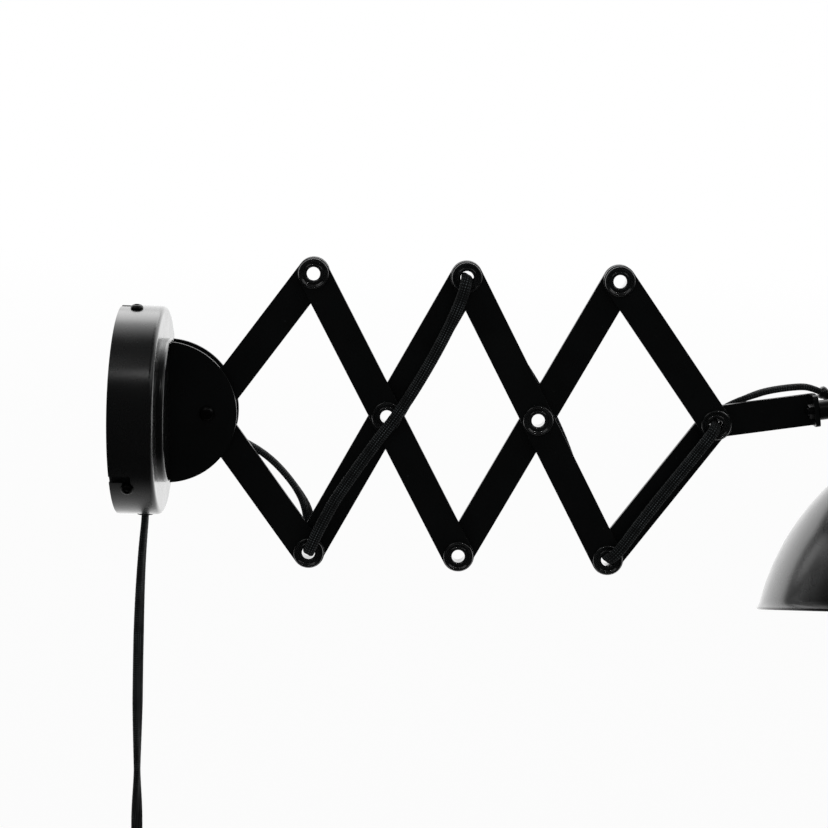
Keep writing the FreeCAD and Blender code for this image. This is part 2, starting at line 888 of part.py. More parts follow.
def head_bar():
    """A flat bar from the last pivot, bent square at its end into a tab for the swivel."""
    half = bar_width / 2
    back = HEAD_LAYER + bar_thickness / 2
    front = HEAD_LAYER - bar_thickness / 2
    inner = head_bar_length - bar_thickness
    outer_bend = head_bend_radius + bar_thickness
    knee = outer_bend * (1 - math.sqrt(0.5))
    inner_knee = head_bend_radius * (1 - math.sqrt(0.5))
    free = back - head_tab_depth
    section = Part.Face(outline([
        Vector(0, back, -half),
        Vector(head_bar_length - outer_bend, back, -half),
        (Vector(head_bar_length - knee, back - knee, -half),
         Vector(head_bar_length, back - outer_bend, -half)),
        Vector(head_bar_length, free, -half),
        Vector(inner, free, -half),
        Vector(inner, front - head_bend_radius, -half),
        (Vector(inner - inner_knee, front - inner_knee, -half),
         Vector(inner - head_bend_radius, front, -half)),
        Vector(0, front, -half),
    ]))
    bar = section.extrude(Z * bar_width)
    bar = bar.fuse(cylinder(half, Y * front, Y * back)).removeSplitter()
    corners = [edge for edge in bar.Edges
               if abs(edge.CenterOfMass.y - free) < 1e-6 and abs(abs(edge.CenterOfMass.z) - half) < 1e-6]
    bar = bar.makeFillet(head_tab_corner, corners)
    bar = bar.cut(cylinder(barrel_radius + running, Y * front, Y * back))
    axis = Vector(0, swivel_back, 0)
    hole = cylinder(swivel_stud_radius + running, axis + X * inner, axis + X * head_bar_length)
    return bar.cut(hole)


def swivel_nut():
    seat = X * (head_bar_length - bar_thickness - end_play)
    nut = hexagon(swivel_nut_across, swivel_nut_height, seat, -X)
    return nut.cut(cylinder(swivel_stud_radius + running / 2, seat, seat - X * swivel_nut_height))


def swivel_rod():
    """The round rod with its stud through the tab, slotted at its far end for the tongue."""
    start = head_bar_length + end_play
    half = swivel_radius
    straight = block(Vector(start, -half, -half), Vector(head_reach, half, half))
    round_end = cylinder(half, X * head_reach - Y * half, X * head_reach + Y * half)
    rod = cylinder(half, X * start, X * (head_reach + half)).common(straight.fuse(round_end))
    slot = block(Vector(head_reach - knuckle_slot_depth, -knuckle_slot / 2, -half),
                 Vector(head_reach + half, knuckle_slot / 2, half))
    rod = rod.cut(slot)
    back_end = head_bar_length - bar_thickness - end_play - swivel_nut_height - swivel_stud_proud
    rod = rod.fuse(cylinder(swivel_stud_radius, X * back_end, X * start))
    hole = cylinder(knuckle_screw_radius + running, X * head_reach - Y * half, X * head_reach + Y * half)
    for side in (-1, 1):
        flat = X * head_reach + Y * side * knuckle_flat()
        rod = rod.cut(cylinder(knuckle_knob_radius + easy, flat, flat + Y * side * half))
    return rod.cut(hole).removeSplitter()


def knuckle_flat():
    """How far from the middle the knuckle's side faces are."""
    return swivel_radius - knuckle_side_flat


def knuckle_screw():
    reach = X * head_reach
    seat = knuckle_flat()
    tip = seat + knuckle_knob_height - edge_break
    shank = cylinder(knuckle_screw_radius, reach - Y * seat, reach + Y * tip)
    dome = stand(lathe([
        rh(0, 0),
        rh(knuckle_head_radius, 0),
        (rh(knuckle_head_radius * 0.8, knuckle_head_height * 0.7),
         rh(knuckle_screw_radius * 0.6, knuckle_head_height)),
        rh(0, knuckle_head_height),
    ]), reach - Y * seat, -Y)
    return shank.fuse(dome)


def knuckle_knob():
    """The round clamping nut, with grooves round its edge."""
    seat = X * head_reach + Y * knuckle_flat()
    top = seat + Y * knuckle_knob_height
    knob = cylinder(knuckle_knob_radius, seat, top)
    for index in range(knob_grooves):
        angle = 2 * math.pi * index / knob_grooves
        side = (X * math.cos(angle) + Z * math.sin(angle)) * (knuckle_knob_radius + knob_groove_out)
        knob = knob.cut(cylinder(knob_groove_radius, seat + side + Y * knob_collar, top + side))
    return knob.cut(cylinder(knuckle_screw_radius + running / 2, seat, top))


def knuckle_eye():
    """The tongue in the swivel's slot, with the hollow neck that holds the cap and the lampholder."""
    half = knuckle_slot / 2 - end_play
    tongue = cylinder(swivel_radius - easy, -Y * half, Y * half)
    cap_top = shade_top_drop - cap_height
    foot_top = cap_top - knuckle_foot_height
    tongue = tongue.fuse(block(Vector(-knuckle_tongue_half, -half, -foot_top),
                               Vector(knuckle_tongue_half, half, 0)))
    tongue = tongue.fuse(cylinder(neck_radius, -Z * holder_top_drop, -Z * foot_top))
    tongue = tongue.fuse(cylinder(cap_top_radius - knuckle_foot_inset, -Z * cap_top, -Z * foot_top))
    return tongue.cut(cylinder(knuckle_screw_radius + running, -Y * half, Y * half)).removeSplitter()


# Lampholder and shade
def holder_cap():
    outer = shade_top_radius
    inner = outer - cap_wall
    low = -shade_top_drop
    top = low + cap_height
    shoulder = top - cap_dome
    knee_radius = cap_top_radius + (outer - cap_top_radius) * 0.72
    knee_height = shoulder + cap_dome * 0.72
    return lathe([
        rh(outer, low),
        rh(outer, shoulder),
        (rh(knee_radius, knee_height), rh(cap_top_radius, top)),
        rh(neck_radius + running, top),
        rh(neck_radius + running, top - cap_wall),
        rh(cap_top_radius, top - cap_wall),
        (rh(knee_radius - cap_wall * 0.7, knee_height - cap_wall * 0.7), rh(inner, shoulder)),
        rh(inner, low),
    ])


def lampholder():
    top = -holder_top_drop
    low = top - holder_length
    shell_outer = socket_radius + socket_shell_wall
    knee = holder_edge_radius * (1 - math.sqrt(0.5))
    return lathe([
        rh(0, top),
        rh(holder_radius, top),
        rh(holder_radius, low + holder_edge_radius),
        (rh(holder_radius - knee, low + knee), rh(holder_radius - holder_edge_radius, low)),
        rh(shell_outer, low),
        rh(shell_outer, low + socket_depth),
        rh(0, low + socket_depth),
    ])


def socket_shell():
    top = -holder_top_drop - holder_length + socket_depth - socket_shell_drop
    outer = socket_radius + socket_shell_wall
    return tube(outer, socket_radius, Z * (top - socket_shell_length), Z * top)


def socket_contact():
    """The spring tongue at the bottom of the socket."""
    floor = -holder_top_drop - holder_length + socket_depth
    under = floor - contact_stud_height
    stud = cylinder(contact_stud_radius, Z * floor, Z * under)
    strip = block(Vector(-contact_reach, -contact_half_width, under - contact_thickness),
                  Vector(contact_tail, contact_half_width, under))
    return stud.fuse(strip).removeSplitter()


def shade_profile_centre():
    """The centre of the arc from the shade's rim to its top, as a radius and a height over the rim."""
    rim = Vector(shade_rim_radius, 0, 0)
    top = Vector(shade_top_radius, 0, shade_height)
    chord = top - rim
    middle = (rim + top) / 2
    inward = Vector(-chord.z, 0, chord.x).normalize()
    return middle + inward * math.sqrt(shade_arc_radius**2 - (chord.Length / 2) ** 2)


def shade():
    centre = shade_profile_centre()
    rim_drop = shade_top_drop + shade_height
    lift = Vector(0, 0, -rim_drop)

    def on_arc(radius, share):
        rim_angle = math.atan2(-centre.z, shade_rim_radius - centre.x)
        top_angle = math.atan2(shade_height - centre.z, shade_top_radius - centre.x)
        angle = rim_angle + (top_angle - rim_angle) * share
        return lift + Vector(centre.x + radius * math.cos(angle), 0, centre.z + radius * math.sin(angle))

    inside = shade_arc_radius - shade_sheet
    hole = holder_radius + shade_hole_play
    top = lift + rh(0, shade_height)
    return lathe([
        on_arc(shade_arc_radius, 0),
        (on_arc(shade_arc_radius, 0.5), on_arc(shade_arc_radius, 1)),
        top + X * hole,
        top + X * hole - Z * shade_sheet,
        on_arc(inside, 1) - Z * shade_sheet * 0.4,
        (on_arc(inside, 0.5), on_arc(inside, 0)),
    ])


def shade_ring():
    high = -shade_top_drop - shade_sheet - end_play
    low = high - shade_ring_height
    ring = lathe([
        rh(holder_radius + running, high),
        rh(shade_top_radius - ring_top_inset, high),
        rh(shade_ring_radius - ring_foot_inset, low + ring_foot_height),
        rh(shade_ring_radius - ring_foot_inset, low),
        rh(holder_radius + running, low),
    ])
    for index in range(ring_notches):
        angle = 2 * math.pi * index / ring_notches
        side = Vector(shade_ring_radius * math.cos(angle), shade_ring_radius * math.sin(angle), 0)
        ring = ring.cut(cylinder(ring_notch_radius, side + Z * low, side + Z * high))
    return ring


# Inside the canopy
def terminal_block():
    middle = Vector(0, cord_hole_side, -cord_hole_drop)
    half = Vector(0, terminal_half_width, terminal_half_height)
    body = block(middle - half + X * plate_thickness, middle + half + X * stub_start)
    for place in terminal_places():
        body = body.cut(cylinder(terminal_screw_bore, place - X * terminal_screw_bore_depth, place))
        wire = place - X * terminal_wire_depth
        body = body.cut(cylinder(terminal_wire_radius, wire - Z * terminal_half_height,
                                 wire + Z * terminal_half_height))
    return body


def terminal_places():
    return [Vector(stub_start, cord_hole_side + side * terminal_half_pitch, -cord_hole_drop)
            for side in (-1, 1)]


def terminal_screws():
    screws = []
    for place in terminal_places():
        foot = place - X * terminal_screw_bore_depth
        top = foot + X * terminal_screw_length
        screw = cylinder(terminal_screw_radius, foot, top)
        slot = block(top + Vector(-terminal_slot_depth, -terminal_screw_radius, -terminal_slot_half),
                     top + Vector(0, terminal_screw_radius, terminal_slot_half))
        screws.append(screw.cut(slot))
    return group(screws)


def cord_clamp():
    low = MAINS_ROUTE[0].z - clamp_lap
    high = low + clamp_height
    body = block(Vector(plate_thickness, -clamp_half_width, low),
                 Vector(mains_height + clamp_cover, clamp_half_width, high))
    bore = cylinder(cord_radius + running, Vector(mains_height, 0, low), Vector(mains_height, 0, high))
    return body.cut(bore)


def cord_grommet():
    foot = Vector(mains_height, 0, 0)
    flange = cylinder(grommet_radius, foot - Z * (cover_radius - grommet_proud),
                      foot - Z * (cover_radius + grommet_proud))
    flange = flange.cut(cylinder(cover_radius, Vector(0, 0, 0), X * cover_depth))
    flange = flange.makeFillet(grommet_edge_radius,
                               [edge for edge in flange.Edges
                                if edge.BoundBox.ZMax < -cover_radius - grommet_proud + 0.01])
    inside = cover_radius - cover_sheet
    top = foot - Z * (inside - grommet_inside)
    neck = cylinder(grommet_neck, top, foot - Z * (cover_radius + grommet_proud / 2))
    collar = cylinder(grommet_neck + grommet_collar, top, foot - Z * (inside - easy))
    body = flange.fuse(neck).fuse(collar)
    hole = cylinder(cord_radius + running, top, foot - Z * (cover_radius + grommet_proud))
    return body.cut(hole).removeSplitter()


# On the mains cord
def relief(foot, axis, length, radius):
    """A tapered sleeve round the cord where it goes into a moulding."""
    bore = cord_radius + running
    return stand(lathe([
        rh(bore, 0),
        rh(radius, 0),
        rh(cord_radius + relief_tip_wall, length),
        rh(bore, length),
    ]), foot, axis)


def switch_middle():
    return MAINS_ROUTE[-1] - Z * switch_length / 2


def switch_case():
    middle = switch_middle()
    half = Vector(switch_depth / 2, switch_width / 2, switch_length / 2)
    case = block(middle - half, middle + half)
    case = case.makeFillet(switch_corner, [edge for edge in case.Edges if edge.Length > switch_length - 1])
    case = case.makeFillet(switch_edge_radius,
                           [edge for edge in case.Edges
                            if abs(abs(edge.CenterOfMass.z - middle.z) - switch_length / 2) < 1e-6])
    opening = block(middle + Vector(-switch_floor, -rocker_width / 2 - easy, -rocker_length / 2 - easy),
                    middle + Vector(switch_depth, rocker_width / 2 + easy, rocker_length / 2 + easy))
    case = case.cut(opening)
    for end in (-1, 1):
        face = middle + Z * end * switch_length / 2
        case = case.cut(cylinder(switch_wire_radius, face, face - Z * end * switch_wire_depth))
        case = case.fuse(relief(face, Z * end, switch_relief_length, switch_relief_radius))
    return case


def switch_rocker():
    """A rocker on a pin across the case, resting tipped to one side."""
    axle = switch_middle() + X * rocker_axle_offset
    height = switch_depth / 2 - rocker_axle_offset + rocker_proud
    half = rocker_length / 2 - rocker_end_inset
    side = rocker_width / 2
    dip = rocker_proud * 0.75
    body = Part.Face(outline([
        Vector(0, -side, -half),
        Vector(height, -side, -half),
        (Vector(height - dip, -side, 0), Vector(height, -side, half)),
        Vector(0, -side, half),
        (Vector(-rocker_belly, -side, 0), Vector(0, -side, -half)),
    ])).extrude(Y * rocker_width)
    body.Placement = Placement(axle, Rotation(Y, rocker_tilt))
    return body


def cord_tie(centre):
    """A strap round all the turns at the foot of the coil."""
    inner = coil_outer_radius - coil_pitch / 2 * (coil_turns - 1) - cord_radius - tie_slack
    outer = coil_outer_radius + cord_radius
    near = centre.x - cord_radius - easy
    far = centre.x + coil_layer + cord_radius + easy
    hollow = block(Vector(near, centre.y - tie_width / 2, centre.z - outer),
                   Vector(far, centre.y + tie_width / 2, centre.z - inner))
    skin = Vector(tie_thickness, 0, tie_thickness)
    shell = block(Vector(near, centre.y - tie_width / 2, centre.z - outer) - skin,
                  Vector(far, centre.y + tie_width / 2, centre.z - inner) + skin)
    return shell.cut(hollow)


def plug_body():
    base = TAIL_ROUTE[-1]
    half = plug_width / 2
    front = -plug_length
    body = Part.Face(outline([
        Vector(-plug_depth / 2, -plug_neck / 2, 0),
        Vector(-plug_depth / 2, plug_neck / 2, 0),
        Vector(-plug_depth / 2, half, -plug_shoulder),
        Vector(-plug_depth / 2, half, front),
        Vector(-plug_depth / 2, -half, front),
        Vector(-plug_depth / 2, -half, -plug_shoulder),
    ])).extrude(X * plug_depth)
    body = body.makeFillet(plug_edge_radius, [edge for edge in body.Edges
                                              if edge.CenterOfMass.z > front + plug_edge_radius])
    body.translate(base)
    return body.fuse(relief(base, Z, plug_relief_length, plug_relief_radius))


def plug_pins():
    base = TAIL_ROUTE[-1] - Z * plug_length
    pins = []
    for side in (-1, 1):
        root = base + Y * side * pin_spacing / 2
        pin = cylinder(pin_radius, root, root - Z * pin_length)
        pins.append(pin.makeFillet(pin_radius * 0.6, [edge for edge in pin.Edges
                                                      if edge.BoundBox.ZMax < root.z - pin_length + 0.01]))
    return group(pins)


def build():
    at = pivots()
    head = head_frame(at)
    swivel = swivel_frame(at)
    lamp = shade_frame(at)
    sleeve = cord("cord_sleeve", SLEEVE_ROUTE, sleeve_radius)
    entry = cylinder(sleeve_radius + running, SLEEVE_ROUTE[-2], SLEEVE_ROUTE[-1] * 2 - SLEEVE_ROUTE[-2])
    coil, coil_centre = mains_coil()
    nodes = {
        "wall_plate": wall_plate(),
        "canopy_cover": canopy_cover(),
        "cover_screws": cover_screws(),
        "base_screws": base_screws(),
        "arm_base": arm_base(),
        "ear_near": ear(-1),
        "ear_far": ear(1),
        "terminal_block": terminal_block(),
        "terminal_screws": terminal_screws(),
        "cord_clamp": cord_clamp(),
        "cord_grommet": cord_grommet(),
        "pivot_bolt": pivot_bolt(),
        "pivot_nut": pivot_nut(),
        "pivot_bush": pivot_bush(),
        "pivot_washers": pivot_washers(),
        "head_bar": placed(head_bar(), head),
        "swivel_nut": placed(swivel_nut(), swivel),
        "swivel_rod": placed(swivel_rod(), swivel),
        "knuckle_screw": placed(knuckle_screw(), swivel),
        "knuckle_knob": placed(knuckle_knob(), swivel),
        "knuckle_eye": placed(knuckle_eye(), lamp),
        "holder_cap": placed(holder_cap(), lamp).cut(entry),
        "lampholder": placed(lampholder(), lamp),
        "socket_shell": placed(socket_shell(), lamp),
        "socket_contact": placed(socket_contact(), lamp),
        "shade_ring": placed(shade_ring(), lamp),
        "shade": placed(shade(), lamp),
        "cord_sleeve": sleeve,
        "mains_cord_drop": cord("mains_cord_drop", MAINS_ROUTE),
        "mains_cord_coil": coil,
        "mains_cord_tail": cord("mains_cord_tail", TAIL_ROUTE),
        "cord_tie": cord_tie(coil_centre),
        "switch_case": switch_case(),
        "switch_rocker": switch_rocker(),
        "plug_body": plug_body(),
        "plug_pins": plug_pins(),
    }
    nodes.update(lattice_bars(at))
    nodes.update(eyelets_and_washers(at))
    for name, route in ARM_CORD_ROUTES.items():
        nodes[name] = cord(name, route)
    return nodes


os.makedirs("parts", exist_ok=True)
for name, shape in build().items():
    shape.exportStep("parts/%s.step" % name)
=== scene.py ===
"""Looks of a wall lamp on a folding lattice arm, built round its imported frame, in metres."""
import json
import math

import bmesh
import bpy
from mathutils import Matrix, Vector


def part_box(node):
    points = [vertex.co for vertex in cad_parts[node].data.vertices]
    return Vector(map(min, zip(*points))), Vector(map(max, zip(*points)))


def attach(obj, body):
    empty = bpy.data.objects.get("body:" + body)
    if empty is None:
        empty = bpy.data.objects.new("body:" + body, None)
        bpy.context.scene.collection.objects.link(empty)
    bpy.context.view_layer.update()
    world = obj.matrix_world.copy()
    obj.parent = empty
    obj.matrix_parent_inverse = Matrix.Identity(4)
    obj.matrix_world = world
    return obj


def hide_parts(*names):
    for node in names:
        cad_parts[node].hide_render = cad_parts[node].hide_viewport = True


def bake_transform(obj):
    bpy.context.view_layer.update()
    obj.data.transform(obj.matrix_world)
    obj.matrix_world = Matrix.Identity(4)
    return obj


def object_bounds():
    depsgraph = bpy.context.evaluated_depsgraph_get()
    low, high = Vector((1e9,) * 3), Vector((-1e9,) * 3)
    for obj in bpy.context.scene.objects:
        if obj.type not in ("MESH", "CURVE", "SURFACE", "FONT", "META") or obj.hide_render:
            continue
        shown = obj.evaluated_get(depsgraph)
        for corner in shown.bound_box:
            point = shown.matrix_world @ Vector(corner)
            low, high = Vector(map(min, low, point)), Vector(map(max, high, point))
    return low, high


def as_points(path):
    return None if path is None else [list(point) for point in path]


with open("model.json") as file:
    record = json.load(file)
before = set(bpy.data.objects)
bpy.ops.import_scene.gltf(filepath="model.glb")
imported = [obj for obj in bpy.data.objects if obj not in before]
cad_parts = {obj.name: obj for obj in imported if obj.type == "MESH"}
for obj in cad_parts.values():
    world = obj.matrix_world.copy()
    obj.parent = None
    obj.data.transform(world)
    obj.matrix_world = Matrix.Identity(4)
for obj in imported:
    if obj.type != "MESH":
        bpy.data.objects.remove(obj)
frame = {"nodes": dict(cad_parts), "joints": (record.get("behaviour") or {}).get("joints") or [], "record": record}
CAD_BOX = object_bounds()

MM = 0.001
X = Vector((1, 0, 0))
Y = Vector((0, 1, 0))
Z = Vector((0, 0, 1))

# Camera, as the photograph was taken
CAMERA_PLACE = Vector((0.16603, -1.14846, 0.19395))
CAMERA_YAW = math.radians(0.815)
CAMERA_PITCH = math.radians(9.5125)
CAMERA_ROLL = math.radians(1.580)
SENSOR = 36.0
LENS = SENSOR * 2.2488

# Cords
CORD_WIDTH = 7.2 * MM
CORD_THICKNESS = 4.2 * MM
CORD_WAIST = 0.12
BRAID_STRANDS = 10
BRAID_PITCH = 3.2 * MM
BRAID_DEPTH = 0.07 * MM
SLEEVE_RADIUS = 3.55 * MM
COIL_TURNS = 5
COIL_OUTER_RADIUS = 45.0
COIL_PITCH = 6.6
COIL_LAYER = 7.6
COIL_STEPS = 10
COIL_START = Vector((10.0, 0.0, -406.0))


def metres(*points):
    return [Vector(p) * MM for p in points]


ARM_CORD_1 = metres(
    (44.0, 3.0, -13.4), (57.0, 3.0, -13.4), (70.0, 4.0, -16.5), (82.3, 5.2, -22.8), (92.4, 6.6, -30.0),
    (101.6, 8.0, -39.4), (110.0, 9.2, -50.6), (115.7, 10.0, -61.2), (118.0, 9.9, -72.0), (118.3, 9.5, -80.0),
    (118.1, 9.0, -84.1), (118.1, 5.0, -88.1), (118.1, 0.0, -88.1))
ARM_CORD_2 = metres(
    (118.1, 0.0, -88.1), (118.1, -5.0, -88.1), (119.4, -9.0, -84.3), (122.6, -9.2, -76.3),
    (128.9, -8.7, -63.3), (134.6, -8.1, -52.4), (142.6, -7.9, -40.3), (151.8, -8.2, -26.2),
    (161.6, -8.9, -12.2), (169.6, -9.2, -1.2), (178.0, -8.7, 11.4), (187.4, -8.0, 27.5), (196.3, -7.9, 44.4),
    (203.0, -8.2, 58.6), (208.2, -8.8, 71.3), (210.6, -9.1, 78.8), (211.8, -9.0, 84.2), (212.6, -5.0, 88.1),
    (212.6, 0.0, 88.1))
ARM_CORD_3 = metres(
    (212.6, 0.0, 88.1), (212.6, 5.0, 88.1), (214.5, 9.0, 84.6), (219.4, 8.7, 75.9), (228.8, 6.6, 62.6),
    (239.8, 5.7, 46.0), (254.7, 7.4, 25.5), (267.5, 8.9, 4.0), (278.3, 7.6, -18.5), (287.0, 5.8, -42.3),
    (294.8, 6.8, -60.9), (300.5, 8.7, -75.9), (305.2, 9.0, -84.6), (307.1, 5.0, -88.1), (307.1, 0.0, -88.1))
ARM_CORD_4 = metres(
    (307.1, 0.0, -88.1), (307.1, -5.0, -88.1), (309.9, -9.0, -85.2), (315.3, -8.8, -79.3),
    (324.4, -7.0, -66.1), (337.6, -6.0, -47.8), (350.6, -6.4, -30.2), (361.0, -8.6, -15.2),
    (368.0, -10.5, -4.6), (371.3, -5.0, 0.0), (371.3, 2.5, 0.0))
ARM_CORD_5 = metres(
    (371.3, 2.5, 0.0), (371.3, 10.0, 0.0), (375.6, 15.6, 4.4), (384.6, 15.7, 10.9), (395.5, 15.0, 16.0),
    (408.0, 14.7, 20.4), (419.0, 14.4, 22.0))
ARM_CORD_6 = metres(
    (419.0, 14.4, 22.0), (425.9, 14.21, 23.0), (432.8, 13.9, 22.6), (438.5, 13.4, 20.4))
ARM_CORD_WALL = metres((16.0, 3.0, -13.4), (44.0, 3.0, -13.4))
SLEEVE_ROUTE = metres(
    (438.5, 13.4, 20.4), (444.2, 12.9, 18.2), (450.6, 11.5, 13.6), (458.3, 8.9, 7.6), (465.7, 5.3, 0.2),
    (470.3, 2.9, -4.9))
MAINS_ROUTE = metres(
    (15.0, 0.0, -53.0), (15.0, 0.0, -67.5), (13.5, 0.3, -83.0), (12.4, -0.2, -101.0), (11.5, 0.2, -120.0),
    (10.9, 0.0, -142.0), (10.5, -0.3, -168.0), (10.2, 0.2, -198.0), (10.1, -0.2, -232.0),
    (10.0, 0.0, -267.0), (10.0, 0.0, -300.0), (10.0, 0.0, -360.0))
TAIL_ROUTE = metres(
    (17.6, -3.3, -406.0), (17.6, -3.3, -418.0), (15.2, -0.6, -437.0), (14.6, 0.3, -469.0),
    (14.6, 0.3, -501.0))


# Materials: each is one shader fed by procedural textures
class Shader:
    def __init__(self, name, **constants):
        self.material = bpy.data.materials.new(name)
        self.material.use_nodes = True
        self.tree = self.material.node_tree
        self.main = self.tree.nodes["Principled BSDF"]
        for socket, value in constants.items():
            self.main.inputs[socket.replace("_", " ")].default_value = value
        self.place = self.node("ShaderNodeTexCoord").outputs["Object"]

    def node(self, kind, **settings):
        made = self.tree.nodes.new(kind)
        for key, value in settings.items():
            setattr(made, key, value)
        return made

    def put(self, socket, value):
        if isinstance(value, bpy.types.NodeSocket):
            self.tree.links.new(value, socket)
        else:
            socket.default_value = value

    def sum(self, operation, *values):
        made = self.node("ShaderNodeMath", operation=operation)
        for socket, value in zip(made.inputs, values):
            self.put(socket, value)
        return made.outputs[0]

    def noise(self, scale, detail=3.0, stretch=None):
        made = self.node("ShaderNodeTexNoise")
        place = self.place
        if stretch:
            mapping = self.node("ShaderNodeMapping")
            mapping.inputs["Scale"].default_value = stretch
            self.put(mapping.inputs["Vector"], place)
            place = mapping.outputs[0]
        self.put(made.inputs["Vector"], place)
        made.inputs["Scale"].default_value = scale
        made.inputs["Detail"].default_value = detail
        return made.outputs["Fac"]

    def span(self, value, low, high, out_low, out_high):
        made = self.node("ShaderNodeMapRange", clamp=True)
        for socket, part in zip(made.inputs, (value, low, high, out_low, out_high)):
            self.put(socket, part)
        return made.outputs[0]

    def mix(self, share, first, second):
        made = self.node("ShaderNodeMix", data_type="RGBA")
        self.put(made.inputs["Factor"], share)
        self.put(made.inputs[6], first)
        self.put(made.inputs[7], second)
        return made.outputs[2]

    def bump(self, height, strength, distance):
        made = self.node("ShaderNodeBump")
        made.inputs["Strength"].default_value = strength
        made.inputs["Distance"].default_value = distance
        self.put(made.inputs["Height"], height)
        self.put(self.main.inputs["Normal"], made.outputs[0])

    def colour(self, value):
        self.put(self.main.inputs["Base Color"], value)

    def roughness(self, value):
        self.put(self.main.inputs["Roughness"], value)


def grey(level, tint=(1.0, 1.0, 1.0)):
    return tuple(level * t for t in tint) + (1.0,)


COOL = (0.86, 1.0, 1.05)


def satin_paint():
    """Black powder coat: fine orange peel, faint clouding and a few dust specks."""
    s = Shader("satin_black_paint", Specular_IOR_Level=0.5)
    clouds = s.span(s.noise(35.0, 4.0), 0.3, 0.7, 0.0, 1.0)
    base = s.mix(clouds, grey(0.0042, COOL), grey(0.0062, COOL))
    specks = s.span(s.noise(420.0, 2.0), 0.785, 0.80, 0.0, 0.6)
    s.colour(s.mix(specks, base, grey(0.05, COOL)))
    s.roughness(s.span(s.noise(90.0, 5.0), 0.3, 0.7, 0.27, 0.36))
    s.bump(s.noise(1300.0, 2.0), 0.10, 0.00010)
    return s.material


def smooth_paint():
    """The same black on the spun pieces, with a smoother skin that mirrors light at a slant."""
    s = Shader("smooth_black_paint", Specular_IOR_Level=0.5, Coat_Weight=1.0, Coat_Roughness=0.25, Coat_IOR=1.75)
    clouds = s.span(s.noise(35.0, 4.0), 0.3, 0.7, 0.0, 1.0)
    s.colour(s.mix(clouds, grey(0.0036, COOL), grey(0.0052, COOL)))
    s.roughness(s.span(s.noise(90.0, 5.0), 0.3, 0.7, 0.22, 0.30))
    s.bump(s.noise(1300.0, 2.0), 0.05, 0.00008)
    return s.material


def gloss_enamel():
    """Glossy black enamel on the rivets, with fine turned marks."""
    s = Shader("gloss_black_enamel", Specular_IOR_Level=0.9, Coat_Weight=1.0, Coat_Roughness=0.10, Coat_IOR=1.8)
    s.colour(s.mix(s.span(s.noise(120.0), 0.35, 0.65, 0.0, 1.0), grey(0.004, COOL), grey(0.009, COOL)))
    s.roughness(s.span(s.noise(260.0, 4.0), 0.3, 0.7, 0.16, 0.30))
    s.bump(s.noise(900.0, 3.0), 0.12, 0.00008)
    return s.material


def blackened_steel():
    s = Shader("blackened_steel", Metallic=1.0)
    s.colour(s.mix(s.span(s.noise(180.0, 4.0), 0.35, 0.65, 0.0, 1.0), grey(0.028), grey(0.065)))
    s.roughness(s.span(s.noise(420.0, 4.0), 0.3, 0.7, 0.24, 0.42))
    s.bump(s.noise(1500.0, 3.0), 0.15, 0.00008)
    return s.material


def zinc_steel():
    s = Shader("zinc_plated_steel", Metallic=1.0)
    tint = s.mix(s.span(s.noise(60.0, 5.0), 0.3, 0.7, 0.0, 1.0), (0.52, 0.54, 0.57, 1), (0.68, 0.67, 0.62, 1))
    s.colour(tint)
    s.roughness(s.span(s.noise(160.0, 5.0, (1.0, 1.0, 9.0)), 0.3, 0.7, 0.26, 0.46))
    s.bump(s.noise(700.0, 3.0, (1.0, 1.0, 6.0)), 0.10, 0.00006)
    return s.material


def brass():
    s = Shader("bright_brass", Metallic=1.0)
    s.colour(s.mix(s.span(s.noise(140.0, 4.0), 0.3, 0.7, 0.0, 1.0), (0.62, 0.42, 0.15, 1), (0.80, 0.60, 0.28, 1)))
    s.roughness(s.span(s.noise(500.0, 4.0), 0.3, 0.7, 0.18, 0.32))
    s.bump(s.noise(1600.0, 2.0), 0.08, 0.00005)
    return s.material


def moulded_black():
    """Moulded black plastic with a fine spark-eroded grain."""
    s = Shader("moulded_black_plastic", Specular_IOR_Level=0.45)
    s.colour(s.mix(s.noise(80.0, 3.0), grey(0.009), grey(0.014)))
    s.roughness(s.span(s.noise(300.0, 3.0), 0.3, 0.7, 0.42, 0.55))
    s.bump(s.noise(2200.0, 2.0), 0.22, 0.00010)
    return s.material


def moulded_white():
    s = Shader("moulded_white_plastic")
    s.colour(s.mix(s.noise(60.0, 3.0), (0.70, 0.69, 0.66, 1), (0.78, 0.77, 0.74, 1)))
    s.roughness(s.span(s.noise(200.0), 0.3, 0.7, 0.34, 0.46))
    s.bump(s.noise(1800.0, 2.0), 0.08, 0.00006)
    return s.material


def glossy_sleeve():
    """Smooth heat-shrunk sleeve, a little uneven over the cord inside it."""
    s = Shader("glossy_black_sleeve", Specular_IOR_Level=0.6)
    s.colour(s.mix(s.noise(200.0), grey(0.005), grey(0.008)))
    s.roughness(s.span(s.noise(160.0, 3.0), 0.3, 0.7, 0.14, 0.24))
    s.bump(s.noise(330.0, 2.0), 0.25, 0.00012)
    return s.material


def rubber():
    s = Shader("black_rubber", Specular_IOR_Level=0.35)
    s.colour(s.mix(s.noise(150.0, 4.0), grey(0.008), grey(0.015)))
    s.roughness(s.span(s.noise(250.0, 4.0), 0.3, 0.7, 0.55, 0.72))
    s.bump(s.noise(1100.0, 3.0), 0.25, 0.00010)
    return s.material


def white_enamel():
    """The bright inside of the shade."""
    s = Shader("white_enamel", Specular_IOR_Level=0.5)
    s.colour(s.mix(s.noise(25.0, 4.0), (0.76, 0.76, 0.74, 1), (0.81, 0.81, 0.79, 1)))
    s.roughness(s.span(s.noise(120.0, 4.0), 0.3, 0.7, 0.34, 0.44))
    s.bump(s.noise(1200.0, 2.0), 0.08, 0.00008)
    return s.material


